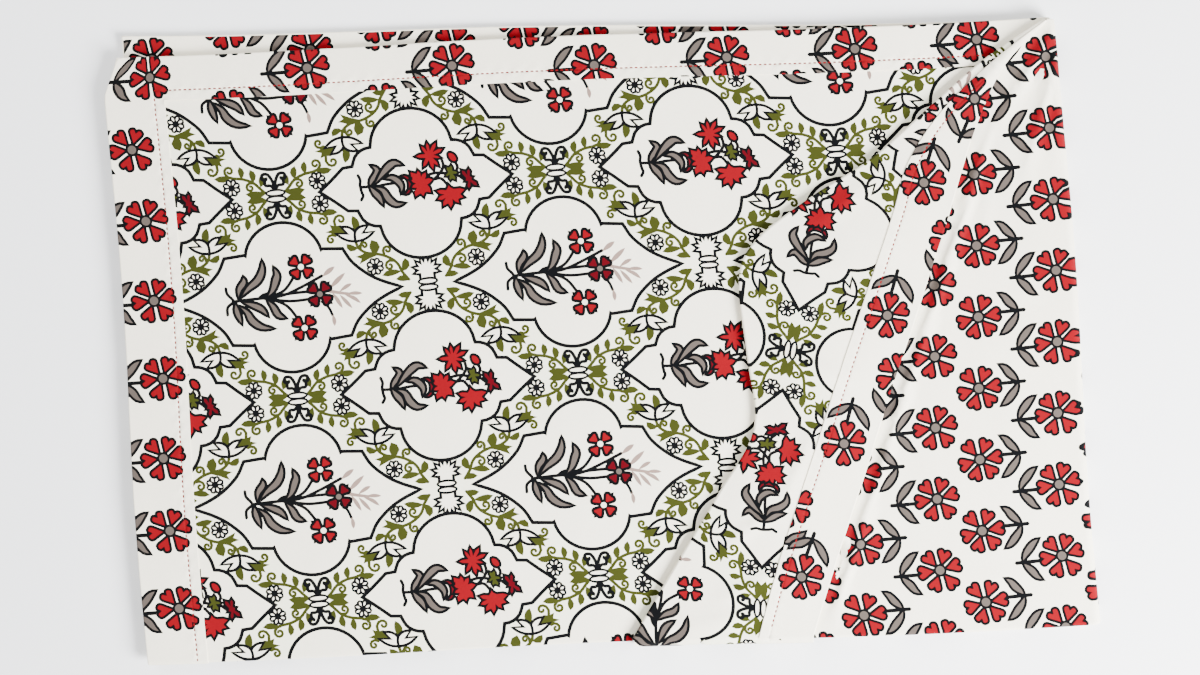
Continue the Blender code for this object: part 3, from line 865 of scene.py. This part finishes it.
def edged(motif, pen):
    """A motif with each of its shapes inked round its edge."""
    return [part for fill, outline in motif for part in outlined(outline, fill, pen)]


def petal(x, y, angle, start, end, width, notch):
    """A petal that widens away from a flower's middle, with a notched or pointed end."""
    outline = [(0.0, 0.10), (0.32, 0.52), (0.66, 0.96), (0.86, 0.98), (1.0, 0.56),
               (0.96, 0.20), (1.0 - notch, 0.0)]
    right = [(start + (end - start) * r, width / 2 * w) for r, w in outline]
    left = [(r, -w) for r, w in right[-2::-1]]
    return turned(bend(right + left, 2, closed=True), angle, x, y)


def spiral(x, y, radius, start, turn, lead):
    """A curled tendril round a middle, from a start in degrees. turn is 1 for anticlockwise."""
    part = np.linspace(0.0, 1.0, 12)
    reach = radius * (1.0 - 0.68 * part) + lead * (1.0 - part) ** 6
    heading = math.radians(start) + turn * part * 2.3 * math.pi
    line = np.stack([x + reach * np.cos(heading), y + reach * np.sin(heading)], axis=1)
    return stroke(line, TENDRIL_PEN, TENDRIL_PEN * 0.85)


# The flower print

def flower():
    """A red flower of six notched petals, its stem to the left with two leaves."""
    motif = [("ink", stroke([(-14, -1.5), (-26, -2.7), (-52.5, -2.5)], 3.6))]
    for axis in ([(-45, -2.4), (-41, 5.5), (-35, 12.5), (-29, 18.5), (-22.5, 22.5)],
                 [(-45, -2.8), (-40.5, -8), (-35.5, -13.5), (-31, -20), (-24.5, -24.5)]):
        motif += outlined(blade(axis, 9.0, 1.0, 2), "grey", 2.7)
    for angle, reach in ((12, 24.4), (68, 24.2), (127, 24.8), (183, 25.2), (244, 24.4), (306, 25.4)):
        motif += outlined(petal(0, 0, angle, 6.8, reach, 15.6, 0.17), "red", 2.6)
    return motif + [("ink", disc(0, 0, 7.5)), ("grey", disc(0, 0, 4.9))]


def flower_field():
    """The top layer's flowers in columns, each with its partner turned the other way."""
    motif, found = flower(), []
    for i in range(-1, 4):
        for j in range(-2, 8):
            x, y = (f + i * a + j * d for f, a, d in zip(FIELD_FIRST, FIELD_ACROSS, FIELD_DOWN))
            found += shifted(motif, x, y, FIELD_TURN)
            found += shifted(motif, x + PARTNER[0], y + PARTNER[1], FIELD_TURN + 180.0)
    return [shape for shape in found if reaches(shape[1], TOP_BOX)]


# The lattice print

def quarter(points):
    """A closed outline from its upper left quarter, tip to top, mirrored both ways."""
    p = np.array(points)
    top = np.concatenate([p, p[-2::-1] * (-1, 1)])
    return np.concatenate([top, top[-2:0:-1] * (1, -1)])


def arc(x, y, radius_x, radius_y, start, steps):
    """Points along an arc, from a start in degrees to its top."""
    turn = np.radians(np.linspace(start, 90, steps + 1))
    return [(x + radius_x * math.cos(t), y + radius_y * math.sin(t)) for t in turn]


def medallion_wide():
    """Outline of the wide medallion: long tips, one step, a round top."""
    tip = bend([(-128.5, 0), (-108, 8.5), (-92, 18), (-76, 33), (-67, 49)], 4)
    return quarter([*tip, (-44, 51), *arc(0, 43, 43.5, 41.5, 170, 10)])


def medallion_stepped():
    """Outline of the narrow medallion: short tips and two steps."""
    tip = bend([(-109, 0), (-94, 12), (-80, 24)], 3)
    return quarter([*tip, (-69, 25), *arc(-46, 26, 21.5, 18.5, 165, 5),
                    *arc(0, 43, 45.5, 41.5, 173, 10)])


def small_red(x, y, fill, heart):
    """A red flower of four petals."""
    petals = [(fill, petal(x, y, 47 + 90 * k, 2.0, 14.4, 12.4, -0.10)) for k in range(4)]
    return edged(petals, 2.9) + [("ink", disc(x, y, 5.0, 12)), (heart, disc(x, y, 3.3, 12))]


def wide_spray():
    """The spray in the wide medallion: grey leaves, three red flowers, pale seed heads."""
    motif = strokes("ink", [
        (2.9, [(-69, 16), (-68, 9), (-62, 0.5), (-69, -6), (-70, -15)]),
        (3.0, [(-63, 0), (-44, 1), (-22, 1.5)]),
        (2.9, [(-24, 1.5), (-4, 8), (10, 24)]),
        (2.9, [(-22, 1), (-4, 3), (18, 11), (41, 21)]),
        (2.9, [(-22, 1.5), (2, 4), (26, 4.5)]),
        (2.9, [(-22, 0), (2, -4.5), (26, -4)]),
        (2.9, [(-20, 0), (-3, -9), (8, -24)]),
        (2.6, [(37, -8), (44, -15), (48, -25)]),
    ])
    motif.append(("ink", blade([(-36, 1), (-24, 4), (-10, 1)], 8.0)))
    for axis, width in (
            (((-56, 2), (-54, 13), (-48, 21), (-48, 28)), 8.0),
            (((-54, 3), (-44, 13), (-32, 22), (-26, 33), (-25, 45)), 9.0),
            (((-53, -1), (-41, -5.5), (-31, -11), (-24, -20)), 8.0),
            (((-60, -1), (-59, -12), (-54.5, -27)), 7.5),
            (((-58, -4), (-48, -13), (-43, -23), (-33, -31), (-18, -34)), 9.0),
            (((-25, 1), (-17, 9), (-12, 20), (-10, 27), (-13, 36)), 9.0),
            (((-25, 0), (-18, -9), (-13, -19), (-4, -23.5)), 8.0)):
        motif += outlined(blade(axis, width, 1.1), "grey", 2.9)
    for axis, width in (
            (((41, 20), (48, 25), (56, 30)), 5.5), (((48, -24), (49, -30), (49, -37)), 4.6),
            (((48, 6), (56, 13), (67, 22)), 5.5), (((58, 1), (66, 6), (73, 9)), 4.4),
            (((66, -2), (75, -2), (84, -3)), 4.2), (((64, -3), (73, -7), (81, -14)), 4.4),
            (((58, -2), (64, -10), (71, -19)), 4.4), (((50, 1), (55, -8), (60, -18)), 4.6)):
        motif.append(("taupe", blade(axis, width)))
    motif.append(("taupe", stroke(bend([(46, 3), (58, 0), (70, -2.5)]), 3.2, 2.4)))
    motif += small_red(18, 33.0, "red", "cream")
    motif += small_red(36, 0.5, "crimson", "grey")
    return motif + small_red(15, -36, "red", "cream")


def burst(x, y, tips, fill, waist, breadth, pen=2.6):
    """A ragged blossom: a pointed petal to each tip, with notches between them."""
    outline = []
    tips = [np.array(tip, float) - (x, y) for tip in tips]
    tips.sort(key=lambda tip: -math.atan2(tip[1], tip[0]))
    for tip, after in zip(tips, tips[1:] + tips[:1]):
        reach, after_reach = np.linalg.norm(tip), np.linalg.norm(after)
        side = tip[::-1] * (-1, 1)
        shoulder, half = tip * 0.66, side * breadth / 2
        between = tip / reach + after / after_reach
        between *= waist * (reach + after_reach) / 2 / np.linalg.norm(between)
        outline += [shoulder + half, tip * 0.90 + side * 0.05, tip, shoulder - half, between]
    return outlined(np.array(outline) + (x, y), fill, pen)


def stepped_spray():
    """The spray in the stepped medallion: grey leaves and ragged red blossoms."""
    motif = strokes("ink", [
        (2.9, [(-64, 15), (-62, 9), (-63, 3), (-62, -5), (-61, -9), (-64, -14)]),
        (2.9, [(-62, 1), (-52, 0.5)]),
        (2.9, [(-46, 0), (-34, 1.5), (-22, 2)]),
        (2.9, [(12, 7), (24, 9), (37, 7)]),
        (2.9, [(17, -1), (27, 7), (33, 15), (32, 24), (28, 29)]),
        (2.9, [(20, 2), (29, 2), (36, -7)]),
        (2.9, [(42, 6), (48, 4), (54, -1)]),
        (2.9, [(46, 21), (49, 14), (46, 8), (42, 7)]),
    ])
    for axis, width in (
            (((-53, -2), (-49.5, 7), (-43, 14), (-42.5, 20), (-49, 25)), 8.0),
            (((-47, 2), (-36, 14), (-27, 22), (-20, 24.5), (-11, 21)), 9.0),
            (((-53, 2), (-48, -6), (-43, -13), (-39.5, -23)), 8.0),
            (((-48, 0), (-38, -5), (-33, -15), (-25, -22), (-14, -21.5)), 9.0),
            (((-35, 7.5), (-27, 8.5), (-20, 4), (-16.5, -3), (-18.5, -11)), 8.0)):
        motif += outlined(blade(axis, width, 1.0), "grey", 2.9)
    calyx = bend([(-16, 9.5), (-8, 9), (-4, -1), (-8, -11), (-15, -12), (-10, -6), (-10, 4)], 3, True)
    motif += outlined(calyx, "crimson", 2.7)
    motif += burst(5.0, -0.5, ((-6, 14), (3.5, 15.5), (13.5, 12.5), (21.5, 2.5), (17, -14), (7, -18),
                               (-3, -17.5), (-7, -6), (-7, 4)), "red", 0.56, 0.46)
    motif += burst(19.0, 29.0, ((10, 42.5), (18, 46), (29.5, 45), (37, 36), (33, 25), (29, 15), (22, 11),
                                (9.5, 15), (1.5, 29.5)), "red", 0.42, 0.34)
    motif += burst(37.0, -16.0, ((36, -4), (20, -11), (20, -22), (26, -31), (35.5, -34), (47, -29),
                                 (53.5, -22), (56, -12)), "red", 0.50, 0.40)
    motif += burst(60.0, -1.0, ((52, 10.5), (61, 12), (66, 1), (70, -11), (58.5, -14), (54, -4)),
                   "crimson", 0.44, 0.46)
    motif += burst(40.5, 7.5, ((36, 16), (42, 17.5), (50, 7), (45.5, -2.5), (39, -2.5), (33, 3.5)),
                   "olive", 0.44, 0.50, 2.2)
    bud = bend([(39.5, 29), (43, 31), (48, 28), (50, 22), (46.5, 19), (41, 22)], 3, True)
    return motif + outlined(bud, "red", 2.6)


def daisy(x, y, radius=9.9):
    """A small dark flower of eight white petals."""
    turns = [(math.cos(turn), math.sin(turn)) for turn in (math.pi / 4 * (k + 0.5) for k in range(8))]
    motif = [("ink", disc(x + 0.66 * radius * c, y + 0.66 * radius * s, 0.42 * radius, 7))
             for c, s in turns]
    motif.append(("ink", disc(x, y, 0.6 * radius, 8)))
    for c, s in turns:
        axis = [(x + r * radius * c, y + r * radius * s) for r in (0.36, 0.6, 0.86)]
        motif.append(("cream", blade(axis, 0.24 * radius, 1.2, 2)))
    return motif


def tulip():
    """A white flower of two deeply notched halves that opens upwards, with a leaf above."""
    half = np.concatenate([
        bend([(0, 0), (-8, 1.2), (-15, 4.5), (-21, 9.5)], 3)[:-1],
        [(-21, 9.5), (-8.5, 8.8), (-15, 17)],
        bend([(-15, 17), (-7.5, 16.3), (-1.2, 12), (0.5, 6), (0, 0)], 3)[1:-1]])
    motif = [("olive", blade([(2, 9), (1.5, 20), (-1.5, 29)], 9.0, 0.95))]
    return motif + edged([("cream", half), ("cream", half * (-1, 1))], 2.9)


def band_segment():
    """What the band holds between a wide medallion and its upper right neighbour."""
    low_stem = bend([(83, 56), (84, 50.5), (87, 46), (94, 41.5), (104.5, 39.5), (114, 36.5),
                     (123.5, 30.5), (128.5, 24), (131, 17), (138, 7)], 2)
    top_stem = bend([(11, 111), (17, 105), (23.5, 98), (35, 93), (45, 91.5), (52, 89)], 2)
    motif = [("olive", stroke(stem, 2.8)) for stem in (low_stem, top_stem)]
    for axis, width in (
            (((9, 110.5), (22, 112), (34, 110)), 6.4), (((16, 104), (13.5, 97), (13, 89.5)), 5.4),
            (((24, 98), (23, 90.5), (25.5, 83)), 5.6), (((36.5, 93), (35.5, 86), (37, 78.5)), 5.2),
            (((46, 89), (57, 91.5), (67, 90.5)), 5.6), (((85, 48), (77, 48.5), (72, 54)), 5.6),
            (((100.5, 38.5), (103.5, 47), (100.5, 56)), 8.6), (((131, 17), (136, 24), (136, 32)), 6.6),
            (((131, 17.5), (119, 17), (108, 14.5)), 5.4), (((140, 7), (132, 9.5), (123, 9)), 5.2)):
        motif.append(("olive", blade(axis, width * 1.42, 1.15, 2)))
    fans = (((72, 64), (62, 65.5), (50, 69), (57.5, 71.5), (55.5, 77.5), (62, 75), (68, 76), (75, 69)),
            ((106, 38), (96, 35), (84, 29.5), (87, 35.5), (80.5, 38.5), (88, 40.5), (93, 43), (100, 41)))
    motif += [("olive", np.array(fan, float)) for fan in fans]
    for x, y, radius, start, turn, lead in (
            (27.5, 103.5, 4.8, -125, 1, 1.5), (49, 83, 5.6, 65, -1, 0.5), (69, 82, 5.4, 225, -1, 4.5),
            (55.5, 60, 4.6, 35, 1, 2.5), (92, 50.5, 4.0, 215, -1, 1.5), (117.5, 43, 4.6, 225, -1, 1.5),
            (118, 24.5, 5.0, 50, 1, 2.5)):
        motif.append(("olive", spiral(x, y, radius, start, turn, lead)))
    motif += shifted(tulip(), 83.0, 56.0, -2.0)
    return motif + daisy(101.5, 25.5) + daisy(48.5, 102.0)


def ovals():
    """Two inked ovals with pale middles, in an ornament's heart."""
    return [(ink, disc(0, 0, 1.0, 16) * (10.5 + grow, 3.4 + grow) + (0, y))
            for y in (3.5, -3.5) for ink, grow in (("ink", 1.5), ("cream", -1.4))]


def scroll_ornament():
    """The dark scrolls in the gap between two stepped medallions' tips."""
    horn = [(0.5, 7), (1.5, 16), (6, 24.5), (12, 25), (13.5, 20.5), (9.5, 18.5), (8, 21)]
    arm = [(0.5, 7), (4.5, 12), (10, 12.5), (10.5, 17)]
    motif = []
    for up, side in MIRRORS:
        for points, pen in ((horn, 3.1), (arm, 3.0)):
            motif.append(("ink", stroke(bend(np.array(points) * (side, up), 3), pen)))
    return motif + ovals()


def crown_ornament():
    """The dark leaf crowns in the gap between two wide medallions' tips."""
    half = np.array([(-8, 5), (-8, 12), (-15, 13), (-10, 16.5), (-16, 20.5), (-9.5, 21), (-12, 27.5),
                     (-6, 24), (-6, 31), (-2.5, 26), (0, 33)])
    crown = np.concatenate([half, half[-2::-1] * (-1, 1)])
    return edged([("cream", crown), ("cream", crown * (1, -1))], 3.0) + ovals()


def lattice_cell():
    """One repeat of the lattice print, round a wide medallion."""
    motif = []
    for mirror in MIRRORS:
        motif += shifted(band_segment(), 0, 0, 0, mirror)
    motif += shifted(scroll_ornament(), 0, HALF_DOWN)
    motif += shifted(crown_ornament(), HALF_ACROSS, 0)
    for x, y, outline, spray in ((0, 0, medallion_wide(), wide_spray()),
                                 (HALF_ACROSS, HALF_DOWN, medallion_stepped(), stepped_spray())):
        rings = [("ink", grown(outline, RING_OUT)), ("cream", grown(outline, -RING_IN))]
        motif += shifted(rings + spray, x, y)
    return motif


# Laying the prints

def reaches(outline, box):
    """Whether an outline reaches into a box of lowest and highest x, then y."""
    (x0, y0), (x1, y1) = outline.min(axis=0), outline.max(axis=0)
    return x0 < box[1] and x1 > box[0] and y0 < box[3] and y1 > box[2]


def lattice_field(place, columns, box, ground):
    """The lattice print over a box, on its ground. place lays points of the flat pattern."""
    x0, x1, y0, y1 = ground
    found = [("band", np.array([(x0, y1), (x1, y1), (x1, y0), (x0, y0)], float))]
    cell = lattice_cell()
    for i in range(*columns):
        for j in range(-2, 3):
            step = (2 * HALF_ACROSS * i, -2 * HALF_DOWN * j)
            laid = [(ink, place(outline + step)) for ink, outline in cell]
            found += [shape for shape in laid if reaches(shape[1], box)]
    return found


def front_place(p):
    """The lattice's place on the front layer."""
    return turned(p, FRONT_TURN, *FRONT_ORIGIN)


def flap_place(p):
    """The lattice's place on the turned-back layer, along an arc through two medallions."""
    rate, start = math.radians(FLAP_BEND), math.radians(FLAP_TURN)
    heading = start + rate * (p[:, 0] - HALF_ACROSS) * FLAP_SQUEEZE
    across = p[:, 1] - HALF_DOWN
    x = FLAP_ORIGIN[0] + (np.sin(heading) - math.sin(start)) / rate - across * np.sin(heading)
    y = FLAP_ORIGIN[1] - (np.cos(heading) - math.cos(start)) / rate + across * np.cos(heading)
    return np.stack([x, y], axis=1)


def to_chart(shapes, place):
    """Shapes in millimetres, laid on a cloth's chart by a place function in metres."""
    return [(ink, np.stack(place(*(p * MM).T), axis=1)) for ink, p in shapes]


def on_front(x, y):
    """Chart place of points on the front layer."""
    return x - LEFT_HEM_X, TOP_HEM_Y - y


def on_top(x, y):
    """Chart place of points on the top layer."""
    return x - LEFT_HEM_X, RETURN_V + y - BOTTOM_FOLD_Y


def on_rear(x, y):
    """Chart place of points on the rear layer that shows above the top hem."""
    back = SECOND_FOLD_X - x
    return UNDER_U + back, TOP_HEM_Y + ASKEW * back - y


def on_flap(x, y):
    """Chart place of points on the turned-back layer."""
    return x, y


def front_print():
    """The lattice print on the front layer."""
    return to_chart(lattice_field(front_place, (-1, 4), FRONT_BOX, FRONT_GROUND), on_front)


def flap_print():
    """The lattice print on the turned-back layer."""
    outline = flap_outline() / MM
    (x0, y0), (x1, y1) = outline.min(axis=0) - 5, outline.max(axis=0) + 5
    box = (x0, x1, y0, y1)
    return to_chart(lattice_field(flap_place, (-2, 3), box, box), on_flap)


def flower_prints():
    """The flower print on the top layer, the rear strip, and the borders."""
    motif, front, rear, strip = flower(), [], [], []

    def put(group, x, y, turn):
        group += shifted(motif, x, y, turn)

    for x, y in LEFT_FLOWERS:
        put(front, x, y, LEFT_TURN)
    for (x, y), (after_x, after_y) in zip(TOP_FLOWERS, TOP_FLOWERS[1:] + (TOP_NEXT,)):
        middle_x, middle_y = (x + after_x) / 2, (y + after_y) / 2
        for step in (FLOWER_STEP / 2, -FLOWER_STEP / 2):
            put(front, middle_x, middle_y + step, TOP_TURN + 180)
        put(rear, x + REAR_SHIFT, y + REAR_STEP, TOP_TURN)
        put(rear, middle_x, middle_y + REAR_STEP + REAR_PARTNER_STEP, TOP_TURN + 180)
    for x, y in TOP_FLOWERS:
        put(front, x, y, TOP_TURN)
    for x, y, turn in STRIP_PARTNERS:
        put(strip, x, y, turn + 180)
    for x, y, turn in STRIP_FLOWERS:
        put(strip, x, y, turn)
    return {"sheet": to_chart(flower_field(), on_top) + to_chart(rear, on_rear),
            "margin": to_chart(front, on_front), "flap": to_chart(strip, on_flap)}


# Finishes

def linear(value):
    """An sRGB channel, 0 to 255, as linear light."""
    value = value / 255
    return value / 12.92 if value <= 0.04045 else ((value + 0.055) / 1.055) ** 2.4


def cotton(name, colour):
    """Printed plain-weave cotton: thread bump, slubs, soft colour variation and sheen."""
    material = bpy.data.materials.new(name)
    material.use_nodes = True
    nodes, links = material.node_tree.nodes, material.node_tree.links
    shader = nodes["Principled BSDF"]

    def fill(item, **values):
        """Set inputs, or link outputs to them; an underscore stands for a space."""
        for key, value in values.items():
            socket = item.inputs[key.replace("_", " ")]
            if isinstance(value, bpy.types.NodeSocket):
                links.new(value, socket)
            else:
                socket.default_value = value
        return item

    def maths(operation, a, b):
        item = nodes.new("ShaderNodeMath")
        item.operation = operation
        for socket, value in zip(item.inputs, (a, b)):
            if isinstance(value, float):
                socket.default_value = value
            else:
                links.new(value, socket)
        return item.outputs[0]

    place = nodes.new("ShaderNodeAttribute")
    place.attribute_name = "weave_place"
    place = place.outputs["Vector"]
    split = fill(nodes.new("ShaderNodeSeparateXYZ"), Vector=place)
    warp, weft = (maths("SINE", maths("MULTIPLY", split.outputs[k], THREADS), 0.0) for k in (0, 1))
    weave = maths("MULTIPLY", warp, weft)
    slub, patch = (
        fill(nodes.new("ShaderNodeTexNoise"), Vector=place, Scale=scale, Detail=detail).outputs["Fac"]
        for scale, detail in ((SLUB_SCALE, 3.0), (PATCH_SCALE, 4.0)))

    shade = maths("ADD", maths("MULTIPLY", slub, SLUB_SHADE), maths("MULTIPLY", patch, PATCH_SHADE))
    shade = maths("ADD", shade, maths("MULTIPLY", weave, WEAVE_SHADE))
    shade = maths("ADD", shade, 1.0 - SLUB_SHADE / 2 - PATCH_SHADE / 2)
    tint = nodes.new("ShaderNodeVectorMath")
    tint.operation = "SCALE"
    fill(tint, Vector=[linear(c) for c in colour], Scale=shade)

    height = maths("ADD", maths("MULTIPLY", weave, 0.5), maths("MULTIPLY", slub, 1.2))
    bump = fill(nodes.new("ShaderNodeBump"), Strength=0.35, Distance=0.0004, Height=height)
    fill(shader, Base_Color=tint.outputs[0], Normal=bump.outputs[0], Roughness=0.88,
         Sheen_Weight=0.03, Sheen_Roughness=0.5, Specular_IOR_Level=0.06)
    return material


# The studio

def add_object(name, data):
    """A new object in the scene."""
    item = bpy.data.objects.new(name, data)
    bpy.context.scene.collection.objects.link(item)
    return item


def make_floor():
    """A plain pale floor."""
    size = 4.0
    mesh = bpy.data.meshes.new("floor")
    mesh.from_pydata([(-size, -size, 0), (size, -size, 0), (size, size, 0), (-size, size, 0)],
                     [], [(0, 1, 2, 3)])
    material = bpy.data.materials.new("floor_pale")
    material.use_nodes = True
    shader = material.node_tree.nodes["Principled BSDF"]
    shader.inputs["Base Color"].default_value = (0.86, 0.87, 0.89, 1.0)
    shader.inputs["Roughness"].default_value = 0.9
    mesh.materials.append(material)
    add_object("floor", mesh)


def make_light(name, place, size, power):
    """A soft square light that looks at the coverlet."""
    data = bpy.data.lights.new(name, "AREA")
    data.shape = "SQUARE"
    data.size = size
    data.energy = power
    item = add_object(name, data)
    item.location = place
    item.rotation_mode = "QUATERNION"
    item.rotation_quaternion = (-Vector(place)).to_track_quat("-Z", "Y")


def make_studio():
    """Pale surroundings, with a large light from the lower right and a weak one opposite."""
    world = bpy.data.worlds.new("studio")
    world.use_nodes = True
    background = world.node_tree.nodes["Background"]
    background.inputs["Color"].default_value = (1.0, 1.0, 1.0, 1.0)
    background.inputs["Strength"].default_value = 1.1
    bpy.context.scene.world = world
    make_light("key_light", (1.8, -1.3, 1.6), 1.3, 430.0)
    make_light("fill_light", (-1.7, 1.7, 2.2), 2.0, 90.0)


def make_camera():
    """A camera straight above the coverlet, rolled as in the photo."""
    data = bpy.data.cameras.new("camera")
    data.lens = 50.0
    data.sensor_width = 36.0
    roll = math.radians(PHOTO_ROLL)
    middle = settle(0.0, 0.0, 0.0)
    across = (PHOTO_WIDTH / 2 - PHOTO_CENTRE[0]) * PHOTO_SCALE
    up = (PHOTO_CENTRE[1] - PHOTO_HEIGHT / 2) * PHOTO_SCALE
    item = add_object("camera", data)
    item.location = (
        middle[0] + across * math.cos(roll) + up * math.sin(roll),
        middle[1] - across * math.sin(roll) + up * math.cos(roll),
        TOP_Z + PHOTO_WIDTH * PHOTO_SCALE * data.lens / data.sensor_width)
    item.rotation_euler = (0.0, 0.0, -roll)
    bpy.context.scene.camera = item


def build_scene():
    """Both cloths, their stitching, and the studio."""
    materials = [cotton(name, colour) for name, colour in INKS.items()]
    face = lay_face(front_print(), flap_print(), materials)
    back = lay_back(flower_prints(), materials)
    make_floor()
    make_studio()
    make_camera()


build_scene()
